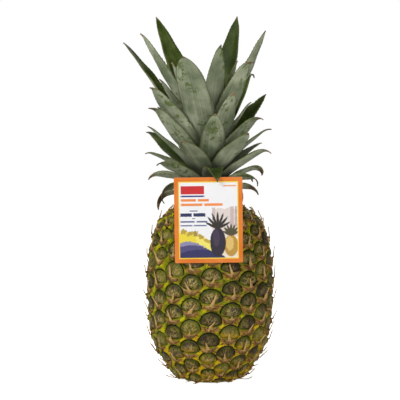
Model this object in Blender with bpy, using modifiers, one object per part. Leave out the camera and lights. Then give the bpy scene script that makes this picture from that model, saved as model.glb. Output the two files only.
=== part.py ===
"""A fresh pineapple standing on its base, with its crown of leaves and a paper tag.

Metres, +Z up, the origin on the surface that the fruit stands on, under its axis.
The front is -Y. Angles round the axis are degrees from the front towards +X.
"""

import math

import bmesh
import bpy
from mathutils import Matrix, Vector

# Fruit
FRUIT_HEIGHT = 0.168
FRUIT_RADIUS = 0.0612
BASE_RADIUS = 0.027
NECK_RADIUS = 0.023
# The barrel between base and neck: (share of the height, share of the radius).
BARREL = (
    (0.012, 0.55), (0.035, 0.63), (0.085, 0.71), (0.130, 0.795), (0.180, 0.875), (0.250, 0.935),
    (0.340, 0.975), (0.450, 0.993), (0.560, 1.000), (0.670, 0.985), (0.750, 0.960), (0.830, 0.905),
    (0.900, 0.825), (0.945, 0.730), (0.972, 0.625), (0.990, 0.500),
)
BARREL_ROWS = 38

# Eyes: 8 spirals one way and 13 the other give 21 upright columns of eyes.
EYE_COLUMNS = 21
EYE_STEP = 8
EYE_PITCH = 0.0203
EYE_RISE = 0.0030
EYE_FRONT_ANGLE = 1.7
EYE_FRONT_HEIGHT = 0.083
EYE_FRONT_SPREAD = 0.06
EYE_LEAN_PER_ROW = 1.4
SEGMENTS_PER_EYE = 3
LOWEST_EYE = 0.0008

# Cut stalk, in a socket in the base and flush with it
STALK_RADIUS = 0.0105
STALK_DEPTH = 0.007

# Crown stem, in a socket in the top
STEM_FOOT_RADIUS = 0.0135
STEM_TIP_RADIUS = 0.0035
STEM_HEIGHT = 0.068
STEM_SOCKET = 0.004

# Crown leaves
LEAF_THICKNESS = 0.0011
LEAF_TURN = 137.5
FIRST_LEAF_ANGLE = -107.5
FIRST_LEAF_HEIGHT = 0.003
LAST_LEAF_BELOW_TIP = 0.004
LEAF_FOOT_SHARE = 0.80
LEAF_CLASP = 0.62
LEAF_CUP_RADIUS = 0.042
LEAF_TIP_WIDTH = 0.0012
LEAF_ROWS = 8
STEPS_PER_ROW = 10
ARCH_POWER = 1.5

# Tag
TAG_WIDTH = 0.0620
TAG_HEIGHT = 0.0783
TAG_THICKNESS = 0.0007
TAG_CORNER_RADIUS = 0.0010
TAG_CENTRE_X = -0.0013
TAG_STANDOFF = 0.0046
TAG_TURN = 0.7
LEAF_PAST_TAG = 0.0065
LEAF_BEHIND_TAG = 0.0040

FIT_GAP = 0.0004


def degrees_sin_cos(angle):
    return math.sin(math.radians(angle)), math.cos(math.radians(angle))


def material(name, colour, roughness):
    made = bpy.data.materials.new(name)
    made.use_nodes = True
    shader = made.node_tree.nodes["Principled BSDF"]
    shader.inputs["Base Color"].default_value = (*colour, 1.0)
    shader.inputs["Roughness"].default_value = roughness
    shader.inputs["Metallic"].default_value = 0.0
    return made


def add_object(name, bm, look, collection):
    mesh = bpy.data.meshes.new(name)
    bm.to_mesh(mesh)
    bm.free()
    mesh.shade_smooth()
    mesh.set_sharp_from_angle(angle=math.radians(50))
    mesh.materials.append(look)
    made = bpy.data.objects.new(name, mesh)
    collection.objects.link(made)
    return made


def smooth_curve(points, count):
    """count points at equal shares of the length of a smooth curve through points."""
    ends = [2 * points[0] - points[1], *points, 2 * points[-1] - points[-2]]
    fine = []
    for a, b, c, d in zip(ends, ends[1:], ends[2:], ends[3:]):
        for step in range(16):
            t = step / 16
            square = (2 * a - 5 * b + 4 * c - d) * t * t
            cube = (3 * b - a - 3 * c + d) * t ** 3
            fine.append(0.5 * (2 * b + (c - a) * t + square + cube))
    fine.append(points[-1])
    lengths = [0.0]
    for a, b in zip(fine, fine[1:]):
        lengths.append(lengths[-1] + (b - a).length)
    result, at = [], 0
    for step in range(count):
        wanted = lengths[-1] * step / (count - 1)
        while at < len(fine) - 2 and lengths[at + 1] < wanted:
            at += 1
        share = (wanted - lengths[at]) / (lengths[at + 1] - lengths[at])
        result.append(fine[at].lerp(fine[at + 1], min(share, 1.0)))
    return result


def barrel_outline():
    """The fruit's side from the rim of its flat base to its neck, as (radius, height) points."""
    points = [Vector((BASE_RADIUS, 0.0))]
    points += [Vector((radius * FRUIT_RADIUS, height * FRUIT_HEIGHT)) for height, radius in BARREL]
    points.append(Vector((NECK_RADIUS, FRUIT_HEIGHT)))
    return smooth_curve(points, BARREL_ROWS + 1)


def eye_rows(outline):
    """Eye pitches of each outline point above the front eye. Eyes are smaller on a slimmer part."""
    rows = [0.0]
    for low, high in zip(outline, outline[1:]):
        middle = (low.x + high.x) / 2
        rows.append(rows[-1] + (high - low).length / (EYE_PITCH * middle / FRUIT_RADIUS))
    front = next(row for row, point in zip(rows, outline) if point.y >= EYE_FRONT_HEIGHT)
    return [row - front for row in rows]


def eye_swell(angle, row, radius):
    """1 on the crest of an eye and 0 in the groove between two eyes."""
    turned = angle - EYE_FRONT_ANGLE - EYE_LEAN_PER_ROW * min(row, 0.0)
    spread = turned - math.degrees(EYE_FRONT_SPREAD) * math.sin(math.radians(turned))
    column = spread / (360 / EYE_COLUMNS)
    width = 2 * math.pi * radius / EYE_COLUMNS
    pitch = EYE_PITCH * radius / FRUIT_RADIUS
    distances = []
    for near_column in range(math.floor(column) - 1, math.floor(column) + 3):
        first_row = near_column * EYE_STEP / EYE_COLUMNS
        nearest = round(row - first_row)
        for near_row in (nearest - 1, nearest, nearest + 1):
            across = (column - near_column) * width
            along = (row - first_row - near_row) * pitch
            distances.append(math.hypot(across, along))
    first, second = sorted(distances)[:2]
    inside = min(1.0, 1.8 * (second - first) / (second + first))
    return 1 - (1 - inside) ** 2


def make_fruit(look, collection):
    """A barrel with a dome for each eye, a socket for the stalk below and one for the crown's stem above."""
    outline = barrel_outline()
    rows = eye_rows(outline)
    stalk_hole = STALK_RADIUS + FIT_GAP
    stem_hole = STEM_FOOT_RADIUS + FIT_GAP
    top = FRUIT_HEIGHT
    profile = [(0.0, STALK_DEPTH), (stalk_hole, STALK_DEPTH), (stalk_hole, 0.0)]
    profile += [tuple(point) for point in outline]
    profile += [(stem_hole, top), (stem_hole, top - STEM_SOCKET), (0.0, top - STEM_SOCKET)]
    bm = bmesh.new()
    verts = [bm.verts.new((radius, 0.0, height)) for radius, height in profile]
    edges = [bm.edges.new(pair) for pair in zip(verts, verts[1:])]
    bmesh.ops.spin(
        bm, geom=verts + edges, cent=(0, 0, 0), axis=(0, 0, 1), angle=2 * math.pi,
        steps=EYE_COLUMNS * SEGMENTS_PER_EYE, use_merge=True, use_duplicate=False,
    )
    bmesh.ops.remove_doubles(bm, verts=bm.verts, dist=1e-6)
    bmesh.ops.recalc_face_normals(bm, faces=bm.faces)
    for number in range(1, BARREL_ROWS):
        point = outline[number]
        slope = outline[number + 1] - outline[number - 1]
        outward = Vector((slope.y, -slope.x)).normalized()
        ring = [v for v in bm.verts if abs(v.co.z - point.y) < 1e-6 and abs(v.co.xy.length - point.x) < 1e-6]
        for vert in ring:
            angle = math.degrees(math.atan2(vert.co.x, -vert.co.y))
            sink = EYE_RISE * (1 - eye_swell(angle, rows[number], point.x))
            radius = point.x - outward.x * sink
            height = max(point.y - outward.y * sink, LOWEST_EYE)
            vert.co = Vector((vert.co.x * radius / point.x, vert.co.y * radius / point.x, height))
    return add_object("fruit_body", bm, look, collection)


def turned_solid(name, profile, segments, look, collection):
    """A solid of revolution from (radius, height) points that start and end on the axis."""
    bm = bmesh.new()
    verts = [bm.verts.new((radius, 0.0, height)) for radius, height in profile]
    edges = [bm.edges.new(pair) for pair in zip(verts, verts[1:])]
    bmesh.ops.spin(
        bm, geom=verts + edges, cent=(0, 0, 0), axis=(0, 0, 1), angle=2 * math.pi,
        steps=segments, use_merge=True, use_duplicate=False,
    )
    bmesh.ops.remove_doubles(bm, verts=bm.verts, dist=1e-6)
    bmesh.ops.recalc_face_normals(bm, faces=bm.faces)
    return add_object(name, bm, look, collection)


def make_stalk(look, collection):
    top = STALK_DEPTH - FIT_GAP
    profile = [(0.0, 0.0), (STALK_RADIUS, 0.0), (STALK_RADIUS, top), (0.0, top)]
    return turned_solid("cut_stalk", profile, 24, look, collection)


def stem_radius(height):
    """The crown stem's radius at a height above the fruit's top."""
    share = min(max(height / STEM_HEIGHT, 0.0), 1.0)
    return STEM_FOOT_RADIUS + (STEM_TIP_RADIUS - STEM_FOOT_RADIUS) * share


def make_stem(look, collection):
    foot = FRUIT_HEIGHT - STEM_SOCKET + FIT_GAP
    tip = FRUIT_HEIGHT + STEM_HEIGHT
    profile = [
        (0.0, foot), (STEM_FOOT_RADIUS, foot), (STEM_FOOT_RADIUS, FRUIT_HEIGHT),
        (STEM_TIP_RADIUS, tip), (0.0, tip + STEM_TIP_RADIUS),
    ]
    return turned_solid("crown_stem", profile, 16, look, collection)


# One row for each crown leaf, from the lowest to the innermost:
# (length, width, lean at the foot, lean at the tip, fullness towards the tip, degrees off the spiral).
# A lean of 0 stands upright, 90 lies level and more hangs down.
LEAVES = (
    (0.052, 0.013, 58, 150, 2.0, 0), (0.048, 0.014, 55, 130, 2.0, 0), (0.050, 0.014, 52, 150, 2.0, 0),
    (0.054, 0.016, 50, 150, 2.2, -5), (0.040, 0.015, 50, 125, 2.0, 0), (0.054, 0.015, 50, 120, 2.0, 0),
    (0.050, 0.018, 48, 125, 2.4, -10), (0.056, 0.016, 48, 115, 2.0, 0), (0.054, 0.017, 48, 108, 2.0, 3),
    (0.049, 0.018, 48, 118, 2.0, 10), (0.060, 0.018, 48, 95, 2.0, 0), (0.060, 0.020, 52, 76, 2.2, -15),
    (0.051, 0.018, 50, 92, 2.0, 0), (0.085, 0.020, 44, 56, 2.0, -3), (0.071, 0.020, 47, 142, 2.2, -12),
    (0.066, 0.020, 48, 70, 2.0, 0), (0.062, 0.020, 51, 73, 2.0, -4), (0.061, 0.021, 49, 64, 2.0, 0),
    (0.074, 0.021, 51, 68, 2.0, -3), (0.058, 0.026, 44, 60, 3.2, -13), (0.062, 0.020, 48, 66, 2.0, 0),
    (0.070, 0.021, 42, 49, 2.0, 10), (0.064, 0.026, 46, 56, 2.8, 0), (0.080, 0.022, 46, 60, 2.0, 0),
    (0.087, 0.025, 37.5, 44, 2.2, -5), (0.066, 0.018, 43, 54, 2.0, 0), (0.090, 0.023, 40, 50, 2.0, 0),
    (0.072, 0.026, 40, 48, 2.6, 0), (0.092, 0.023, 39, 50, 2.0, 0), (0.098, 0.028, 36, 43, 2.4, 30),
    (0.070, 0.022, 38, 50, 2.2, 0), (0.104, 0.024, 35, 44, 2.0, 0), (0.118, 0.031, 33, 38, 3.8, 9),
    (0.084, 0.022, 33, 42, 2.0, 0), (0.140, 0.025, 30.5, 38, 2.0, 12), (0.078, 0.025, 31, 38, 2.4, 0),
    (0.120, 0.025, 30, 38, 2.0, 0), (0.088, 0.024, 29, 36, 2.0, 0), (0.062, 0.021, 28, 36, 2.0, 0),
    (0.132, 0.025, 27, 35, 2.0, 5), (0.088, 0.022, 29, 36, 2.4, -3), (0.102, 0.024, 25.5, 33, 2.0, 0),
    (0.128, 0.023, 25, 32, 2.0, 14), (0.098, 0.028, 24.5, 32, 2.4, 0), (0.080, 0.024, 24, 31, 2.0, 0),
    (0.090, 0.019, 24, 31, 2.0, -8), (0.121, 0.021, 22, 24, 2.0, -12), (0.142, 0.028, 22, 29, 2.2, 0),
    (0.100, 0.024, 20, 26, 2.4, 0), (0.138, 0.028, 18.5, 25, 2.4, 0), (0.070, 0.017, 17, 22, 2.0, 0),
    (0.080, 0.018, 15, 20, 2.0, -3), (0.068, 0.013, 10.5, 15, 2.0, 10), (0.052, 0.013, 7, 10, 2.0, 0),
)


# The leaf that bends forward over the tag's top edge, and the leaves that end behind the tag.
LEAF_OVER_TAG = 14
LEAVES_BEHIND_TAG = (1, 6)


def leaf_angle(number):
    return FIRST_LEAF_ANGLE + LEAF_TURN * number + LEAVES[number][5]


def leaf_foot_height(number):
    """Height of a leaf's foot above the fruit's top."""
    last = STEM_HEIGHT - LAST_LEAF_BELOW_TIP
    return FIRST_LEAF_HEIGHT + (last - FIRST_LEAF_HEIGHT) * number / (len(LEAVES) - 1)


def leaf_foot_reach(number):
    """Distance of a leaf's foot from the axis."""
    return stem_radius(leaf_foot_height(number)) + FIT_GAP + LEAF_THICKNESS / 2


def leaf_leans(number):
    """The leaf's lean in the middle of each of the short steps along it."""
    _, _, foot_lean, tip_lean, _, _ = LEAVES[number]
    steps = STEPS_PER_ROW * LEAF_ROWS
    bend = tip_lean - foot_lean
    return [foot_lean + bend * ((step + 0.5) / steps) ** ARCH_POWER for step in range(steps)]


def tag_top_reach():
    """Distance of the tag's top edge from the axis."""
    return FRUIT_RADIUS + TAG_STANDOFF


def leaf_length(number):
    """The listed length, except for a leaf whose tip is placed by the tag."""
    if number == LEAF_OVER_TAG:
        wanted = tag_top_reach() + LEAF_PAST_TAG
    elif number in LEAVES_BEHIND_TAG:
        _, cosine = degrees_sin_cos(leaf_angle(number))
        wanted = (tag_top_reach() - TAG_STANDOFF - LEAF_BEHIND_TAG) / cosine
    else:
        return LEAVES[number][0]
    sines = [math.sin(math.radians(lean)) for lean in leaf_leans(number)]
    return (wanted - leaf_foot_reach(number)) * len(sines) / sum(sines)


def midrib(number):
    """The leaf's midrib as (distance from the axis, height, lean) at the end of each row."""
    reach = leaf_foot_reach(number)
    height = FRUIT_HEIGHT + leaf_foot_height(number)
    leans = leaf_leans(number)
    stride = leaf_length(number) / len(leans)
    rows = [(reach, height, leans[0])]
    for step, lean in enumerate(leans, 1):
        sine, cosine = degrees_sin_cos(lean)
        reach += sine * stride
        height += cosine * stride
        if step % STEPS_PER_ROW == 0:
            rows.append((reach, height, lean))
    return rows


def half_width(number, share, foot_radius):
    """Half the leaf's width at a share of its length. The foot clasps no more of the stem than LEAF_CLASP."""
    _, width, _, _, fullness, _ = LEAVES[number]
    foot = min(LEAF_FOOT_SHARE * width / 2, LEAF_CLASP * foot_radius)
    below_widest = max(0.0, 1 - share / 0.45)
    swell = width / 2 - (width / 2 - foot) * below_widest ** 2
    taper = (1 - share ** fullness) ** 0.75
    return max(swell * taper, LEAF_TIP_WIDTH / 2)


def make_leaf(number, look, collection):
    """A blade that clasps the stem at its foot, as a thin shell on a bent grid."""
    rows = midrib(number)
    foot_radius = rows[0][0]
    sine, cosine = degrees_sin_cos(leaf_angle(number))
    outward = Vector((sine, -cosine, 0.0))
    sideways = Vector((cosine, sine, 0.0))
    bm = bmesh.new()
    bmesh.ops.create_grid(bm, x_segments=2, y_segments=LEAF_ROWS, size=1.0)
    for vert in bm.verts:
        share = (vert.co.y + 1) / 2
        reach, height, lean = rows[round(share * LEAF_ROWS)]
        cup = foot_radius + (LEAF_CUP_RADIUS - foot_radius) * share
        bend = vert.co.x * half_width(number, share, foot_radius) / cup
        lean_sine, lean_cosine = degrees_sin_cos(lean)
        inner = outward * -lean_cosine + Vector((0.0, 0.0, lean_sine))
        place = outward * reach + Vector((0.0, 0.0, height))
        vert.co = place + sideways * math.sin(bend) * cup + inner * (1 - math.cos(bend)) * cup
    bmesh.ops.recalc_face_normals(bm, faces=bm.faces)
    leaf = add_object(f"crown_leaf_{number + 1:02d}", bm, look, collection)
    wall = leaf.modifiers.new("thickness", "SOLIDIFY")
    wall.thickness = LEAF_THICKNESS
    wall.offset = 0.0
    return leaf


def height_under_leaf():
    """The lowest height of the forward leaf's underside where it passes over the tag's top edge."""
    rows = midrib(LEAF_OVER_TAG)
    for low, high in zip(rows, rows[1:]):
        if high[0] >= tag_top_reach():
            share = (tag_top_reach() - low[0]) / (high[0] - low[0])
            return low[1] + (high[1] - low[1]) * share - 1.5 * LEAF_THICKNESS - FIT_GAP
    return rows[-1][1] - 1.5 * LEAF_THICKNESS - FIT_GAP


def rind_radius(height):
    """The barrel's radius at a height, without the eyes."""
    outline = barrel_outline()
    for low, high in zip(outline, outline[1:]):
        if high.y >= height:
            return low.x + (high.x - low.x) * (height - low.y) / (high.y - low.y)
    return NECK_RADIUS


def make_tag(look, collection):
    """A flat card with its foot against the rind and its top edge caught behind a leaf that bends forward."""
    top = height_under_leaf()
    foot_reach = rind_radius(top - TAG_HEIGHT) + FIT_GAP + TAG_THICKNESS / 2
    bm = bmesh.new()
    bmesh.ops.create_cube(bm, size=1.0)
    bmesh.ops.scale(bm, vec=(TAG_WIDTH, TAG_THICKNESS, TAG_HEIGHT), verts=bm.verts)
    corners = [edge for edge in bm.edges if abs(edge.verts[0].co.y - edge.verts[1].co.y) > TAG_THICKNESS / 2]
    bmesh.ops.bevel(
        bm, geom=corners, offset=TAG_CORNER_RADIUS, offset_type="OFFSET", segments=3, profile=0.5,
        affect="EDGES", material=-1,
    )
    turn = Matrix.Rotation(math.radians(-TAG_TURN), 4, "Y")
    lean = Matrix.Rotation(math.asin((tag_top_reach() - foot_reach) / TAG_HEIGHT), 4, "X")
    bmesh.ops.transform(bm, matrix=lean @ turn, verts=bm.verts)
    middle = (TAG_CENTRE_X, -(foot_reach + tag_top_reach()) / 2, top - TAG_HEIGHT / 2)
    bmesh.ops.translate(bm, vec=middle, verts=bm.verts)
    return add_object("hang_tag", bm, look, collection)


def main():
    for obj in list(bpy.data.objects):
        bpy.data.objects.remove(obj, do_unlink=True)
    collection = bpy.data.collections.new("pineapple")
    bpy.context.scene.collection.children.link(collection)
    rind = material("rind", (0.10, 0.11, 0.02), 0.55)
    leaf_skin = material("leaf_skin", (0.16, 0.20, 0.10), 0.6)
    card = material("card", (0.80, 0.78, 0.72), 0.4)
    pith = material("pith", (0.45, 0.36, 0.20), 0.8)
    make_fruit(rind, collection)
    make_stalk(pith, collection)
    make_stem(pith, collection)
    for number in range(len(LEAVES)):
        make_leaf(number, leaf_skin, collection)
    make_tag(card, collection)


main()
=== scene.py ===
# %% [markdown]
# # A fresh pineapple with its crown and a paper tag
#
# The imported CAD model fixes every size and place. This notebook dresses it: a rind of eyes with
# dried bracts, a crown of waxy leaves, a printed card, a pale floor and soft studio light.
# All lengths are in metres unless a name says otherwise, +Z is up and the front is -Y.

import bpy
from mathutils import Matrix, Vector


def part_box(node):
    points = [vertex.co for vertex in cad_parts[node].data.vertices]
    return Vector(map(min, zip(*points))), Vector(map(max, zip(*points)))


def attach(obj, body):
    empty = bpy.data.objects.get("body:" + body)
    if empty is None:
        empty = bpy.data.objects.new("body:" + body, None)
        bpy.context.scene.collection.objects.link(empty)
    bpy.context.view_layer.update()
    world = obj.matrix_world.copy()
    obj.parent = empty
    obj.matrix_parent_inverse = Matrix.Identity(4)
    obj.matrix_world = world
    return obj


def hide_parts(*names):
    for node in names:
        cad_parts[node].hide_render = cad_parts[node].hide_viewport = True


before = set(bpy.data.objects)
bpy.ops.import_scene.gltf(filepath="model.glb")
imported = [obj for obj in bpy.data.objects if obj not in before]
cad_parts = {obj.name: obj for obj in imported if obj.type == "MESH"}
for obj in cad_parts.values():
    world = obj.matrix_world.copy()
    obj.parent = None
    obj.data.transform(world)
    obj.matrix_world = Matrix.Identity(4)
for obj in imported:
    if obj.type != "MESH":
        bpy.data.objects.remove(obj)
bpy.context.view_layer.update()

import math

import bmesh
import bpy
import numpy as np
from mathutils import Vector

MM = 0.001

# %% [markdown]
# ## Two helpers for finishes
#
# Colours are easiest to judge as the hex codes a paint program shows, but Blender's shaders work
# in linear light. One function turns the first into the second, and one function adds a shader
# node with its settings and links, so that each finish below reads as a short recipe.

# %% Colour and node helpers


def colour(code):
    """Linear RGBA from an sRGB hex code such as "7c8363"."""
    parts = [int(code[at:at + 2], 16) / 255 for at in (0, 2, 4)]
    linear = [part / 12.92 if part <= 0.04045 else ((part + 0.055) / 1.055) ** 2.4 for part in parts]
    return (*linear, 1.0)


def node(tree, kind, inputs=None, out=0, stops=(), **settings):
    """Adds a shader node with its settings and links, and returns one of its outputs.

    An input that is a socket gets linked, a hex code becomes a colour, and anything else is set.
    """
    made = tree.nodes.new("ShaderNode" + kind)
    for name, value in settings.items():
        setattr(made, name, value)
    for at, (position, code) in enumerate(stops):
        stop = made.color_ramp.elements[at] if at < 2 else made.color_ramp.elements.new(position)
        stop.position, stop.color = position, colour(code)
    for name, value in (inputs or {}).items():
        if isinstance(value, bpy.types.NodeSocket):
            tree.links.new(value, made.inputs[name])
        else:
            made.inputs[name].default_value = colour(value) if isinstance(value, str) else value
    return made.outputs[out]


def finish(name, roughness, shine=0.5):
    """A new material, its node tree and its Principled shader. Shine is how strongly it mirrors light."""
    made = bpy.data.materials.new(name)
    made.use_nodes = True
    shader = made.node_tree.nodes["Principled BSDF"]
    shader.inputs["Roughness"].default_value = roughness
    shader.inputs["Specular IOR Level"].default_value = shine
    return made, made.node_tree, shader


# Settings that come back often: a soft step between two values, and a mix of two colours.
STEP = {"interpolation_type": "SMOOTHSTEP"}
MIX = {"data_type": "RGBA", "out": 2}
print("helpers ready; mid grey is", tuple(round(part, 3) for part in colour("808080")))

# %% [markdown]
# ## The stage
#
# A fruit in a shop's catalogue stands on a white table under large soft lights. A wide pale
# floor and a white surround do the same here. One big soft light stands high at the front left,
# a weaker one fills the right, and one behind lifts the leaf edges off the background.

# %% Floor, surround and lights
FLOOR_HALF = 4.0
FLOOR_GLOW = 0.95
SKY_LIGHT = 0.2
floor_bm = bmesh.new()
bmesh.ops.create_grid(floor_bm, x_segments=1, y_segments=1, size=FLOOR_HALF)
floor_mesh = bpy.data.meshes.new("studio_floor")
floor_bm.to_mesh(floor_mesh)
floor_bm.free()
floor = bpy.data.objects.new("studio_floor", floor_mesh)
bpy.context.scene.collection.objects.link(floor)
matte_white, tree, shader = finish("matte_white_table", 0.7)
grit = node(tree, "TexNoise", {"Scale": 60.0, "Detail": 3.0})
table_white = node(tree, "ValToRGB", {0: grit}, stops=[(0.3, "f4f4f3"), (0.7, "f8f8f7")])
tree.links.new(table_white, shader.inputs["Base Color"])
tree.links.new(table_white, shader.inputs["Emission Color"])
seen = node(tree, "LightPath", out="Is Camera Ray")
floor_glow = node(tree, "Math", {0: seen, 1: FLOOR_GLOW}, operation="MULTIPLY")
tree.links.new(floor_glow, shader.inputs["Emission Strength"])
floor.data.materials.append(matte_white)

surround = bpy.data.worlds.new("white_surround")
surround.use_nodes = True
sky = surround.node_tree.nodes["Background"]
sky.inputs["Color"].default_value = colour("ffffff")
seen = node(surround.node_tree, "LightPath", out="Is Camera Ray")
glow = node(surround.node_tree, "MapRange", {0: seen, 3: SKY_LIGHT, 4: 1.0})
surround.node_tree.links.new(glow, sky.inputs["Strength"])
bpy.context.scene.world = surround
bpy.context.scene.view_settings.view_transform = "Standard"

LIGHT_AIM = Vector((0.0, 0.0, 0.17))
LIGHTS = (
    # name, place, size, watts
    ("key_softbox", (-0.92, -1.05, 1.1), 0.7, 18.0),
    ("fill_softbox", (0.75, -1.15, 0.35), 0.8, 6.0),
    ("rim_softbox", (0.25, 1.1, 1.2), 0.8, 5.0),
)
for name, place, size, watts in LIGHTS:
    lamp = bpy.data.lights.new(name, "AREA")
    lamp.size = size
    lamp.energy = watts
    holder = bpy.data.objects.new(name, lamp)
    holder.location = place
    holder.rotation_euler = (LIGHT_AIM - Vector(place)).to_track_quat("-Z", "Y").to_euler()
    bpy.context.scene.collection.objects.link(holder)
print(len(LIGHTS), "soft lights over a floor of", 2 * FLOOR_HALF, "m")

# %% Camera at the front, almost level
CAMERA_DISTANCE = 0.95
CAMERA_ELEVATION = math.radians(3.0)
CAMERA_AIM = Vector((0.0, 0.0, 0.1728))
CAMERA_LENS_MM = 88.1
CAMERA_SHIFT = -0.025
camera_data = bpy.data.cameras.new("front_camera")
camera_data.lens = CAMERA_LENS_MM
camera_data.shift_x = CAMERA_SHIFT
camera_data.clip_start = 0.01
camera = bpy.data.objects.new("front_camera", camera_data)
toward = Vector((0.0, -math.cos(CAMERA_ELEVATION), math.sin(CAMERA_ELEVATION)))
camera.location = CAMERA_AIM + toward * CAMERA_DISTANCE
camera.rotation_euler = (-toward).to_track_quat("-Z", "Y").to_euler()
bpy.context.scene.collection.objects.link(camera)
bpy.context.scene.camera = camera
print("camera at", tuple(round(value, 3) for value in camera.location))

# %% [markdown]
# ## The barrel and its eyes
#
# A pineapple is many small fruits grown together. Each shows as an eye, and the eyes sit on two
# families of spirals, 8 one way and 13 the other, which together make 21 upright columns. Every
# point of the rind therefore has a column number and a row number, and both are smooth. The
# pattern is worked out in those numbers, so that eyes get smaller towards both ends by themselves.

# %% Outline of the barrel
fruit_high = Vector(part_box("fruit_body")[1])
FRUIT_HEIGHT = fruit_high.z
FRUIT_RADIUS = 0.0612
BASE_RADIUS = 0.027
NECK_RADIUS = 0.023
# The same shares of height and radius as the CAD barrel.
BARREL = (
    (0.012, 0.55), (0.035, 0.63), (0.085, 0.71), (0.130, 0.795), (0.180, 0.875), (0.250, 0.935),
    (0.340, 0.975), (0.450, 0.993), (0.560, 1.000), (0.670, 0.985), (0.750, 0.960), (0.830, 0.905),
    (0.900, 0.825), (0.945, 0.730), (0.972, 0.625), (0.990, 0.500),
)
RIND_ROWS = 190


def barrel_outline(count):
    """count + 1 evenly spaced (radius, height) points up the side of the barrel."""
    points = [(BASE_RADIUS, 0.0)]
    points += [(radius * FRUIT_RADIUS, height * FRUIT_HEIGHT) for height, radius in BARREL]
    points.append((NECK_RADIUS, FRUIT_HEIGHT))
    points = np.array(points)
    ends = np.vstack([2 * points[0] - points[1], points, 2 * points[-1] - points[-2]])
    t = np.linspace(0, 1, 24, endpoint=False)[:, None]
    fine = []
    for a, b, c, d in zip(ends, ends[1:], ends[2:], ends[3:]):
        square = (2 * a - 5 * b + 4 * c - d) * t ** 2
        fine.append(0.5 * (2 * b + (c - a) * t + square + (3 * b - a - 3 * c + d) * t ** 3))
    fine = np.vstack(fine + [points[-1:]])
    length = np.concatenate([[0], np.cumsum(np.hypot(*np.diff(fine, axis=0).T))])
    wanted = np.linspace(0, length[-1], count + 1)
    return np.column_stack([np.interp(wanted, length, fine[:, 0]), np.interp(wanted, length, fine[:, 1])])


outline = barrel_outline(RIND_ROWS)
slope = np.gradient(outline, axis=0)
outward = np.column_stack([slope[:, 1], -slope[:, 0]]) / np.hypot(*slope.T)[:, None]
print("barrel outline:", len(outline), "points, greatest radius", round(outline[:, 0].max(), 4))

# %% Numbers of the eye lattice
EYE_COLUMNS = 21
EYE_STEP = 8
EYE_PITCH = 0.0203
EYE_FRONT_ANGLE = math.radians(1.7)
EYE_FRONT_HEIGHT = 0.083
EYE_FRONT_SPREAD = 0.06
EYE_LEAN_PER_ROW = math.radians(1.4)
# A nominal eye is this wide and high where the barrel is widest.
EYE_WIDE_MM = 18.9
EYE_HIGH_MM = 20.3

slimness = (outline[1:, 0] + outline[:-1, 0]) / 2 / FRUIT_RADIUS
slimness = np.where(outline[1:, 1] < EYE_FRONT_HEIGHT, slimness ** 0.25, slimness)
step_rows = np.hypot(*np.diff(outline, axis=0).T) / (EYE_PITCH * slimness)
outline_row = np.concatenate([[0], np.cumsum(step_rows)])
outline_row -= np.interp(EYE_FRONT_HEIGHT, outline[:, 1], outline_row)
FIRST_ROW, LAST_ROW = outline_row[0], outline_row[-1]
print("rows of eyes from", round(FIRST_ROW, 2), "to", round(LAST_ROW, 2))


def column_of(angle, row):
    """Column number at an angle from the front, in radians, and a row."""
    turned = angle - EYE_FRONT_ANGLE - EYE_LEAN_PER_ROW * np.minimum(row, 0.0)
    return (turned - EYE_FRONT_SPREAD * np.sin(turned)) * EYE_COLUMNS / (2 * math.pi)


def angle_of(column, row):
    """The other way round, by repeating a small correction."""
    wanted = column * 2 * math.pi / EYE_COLUMNS
    turned = wanted
    for _ in range(12):
        turned = wanted + EYE_FRONT_SPREAD * np.sin(turned)
    return turned + EYE_FRONT_ANGLE + EYE_LEAN_PER_ROW * np.minimum(row, 0.0)


# %% [markdown]
# No two eyes are the same. Each gets its own small shift, turn, size, ripeness and dried spine
# from a table of random numbers with a fixed seed. Eyes are looked up by column and row.

# %% Random traits of every eye
EYE_ROWS = 24
ROW_ZERO = 12
chance = np.random.default_rng(7)
eye_shift = chance.uniform(-0.8, 0.8, (EYE_COLUMNS, EYE_ROWS, 2))
eye_turn = chance.uniform(-0.13, 0.13, (EYE_COLUMNS, EYE_ROWS))
eye_size = chance.uniform(0.94, 1.06, (EYE_COLUMNS, EYE_ROWS))
eye_tone = chance.uniform(0.0, 1.0, (EYE_COLUMNS, EYE_ROWS))
print(EYE_COLUMNS * EYE_ROWS, "sets of eye traits")


def eye_local(column, row, eye_column, eye_number):
    """Right and up of an eye's centre, in nominal millimetres, from its own tilt and size."""
    home = eye_column % EYE_COLUMNS
    number = eye_number + (eye_column - home) // EYE_COLUMNS * EYE_STEP + ROW_ZERO
    home, number = home.astype(int), np.clip(number, 0, EYE_ROWS - 1).astype(int)
    eye_row = eye_number + eye_column * EYE_STEP / EYE_COLUMNS
    right = (column - eye_column) * EYE_WIDE_MM - eye_shift[home, number, 0]
    up = (row - eye_row) * EYE_HIGH_MM - eye_shift[home, number, 1]
    sine, cosine = np.sin(eye_turn[home, number]), np.cos(eye_turn[home, number])
    size = eye_size[home, number]
    return (right * cosine + up * sine) / size, (up * cosine - right * sine) / size, home, number


DOME_HALF_WIDTH = 10.2
DOME_TOP = 9.8
DOME_BOTTOM = 3.0
DOME_LIFT = 0.5
DOME_EDGE = 1.10


def dome_share(right, up):
    """0 in the middle of an eye's dome and 1 on its rim, which is arched above and flatter below."""
    over = up - DOME_LIFT
    return np.hypot(right / DOME_HALF_WIDTH, over / np.where(over > 0, DOME_TOP, DOME_BOTTOM))


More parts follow.
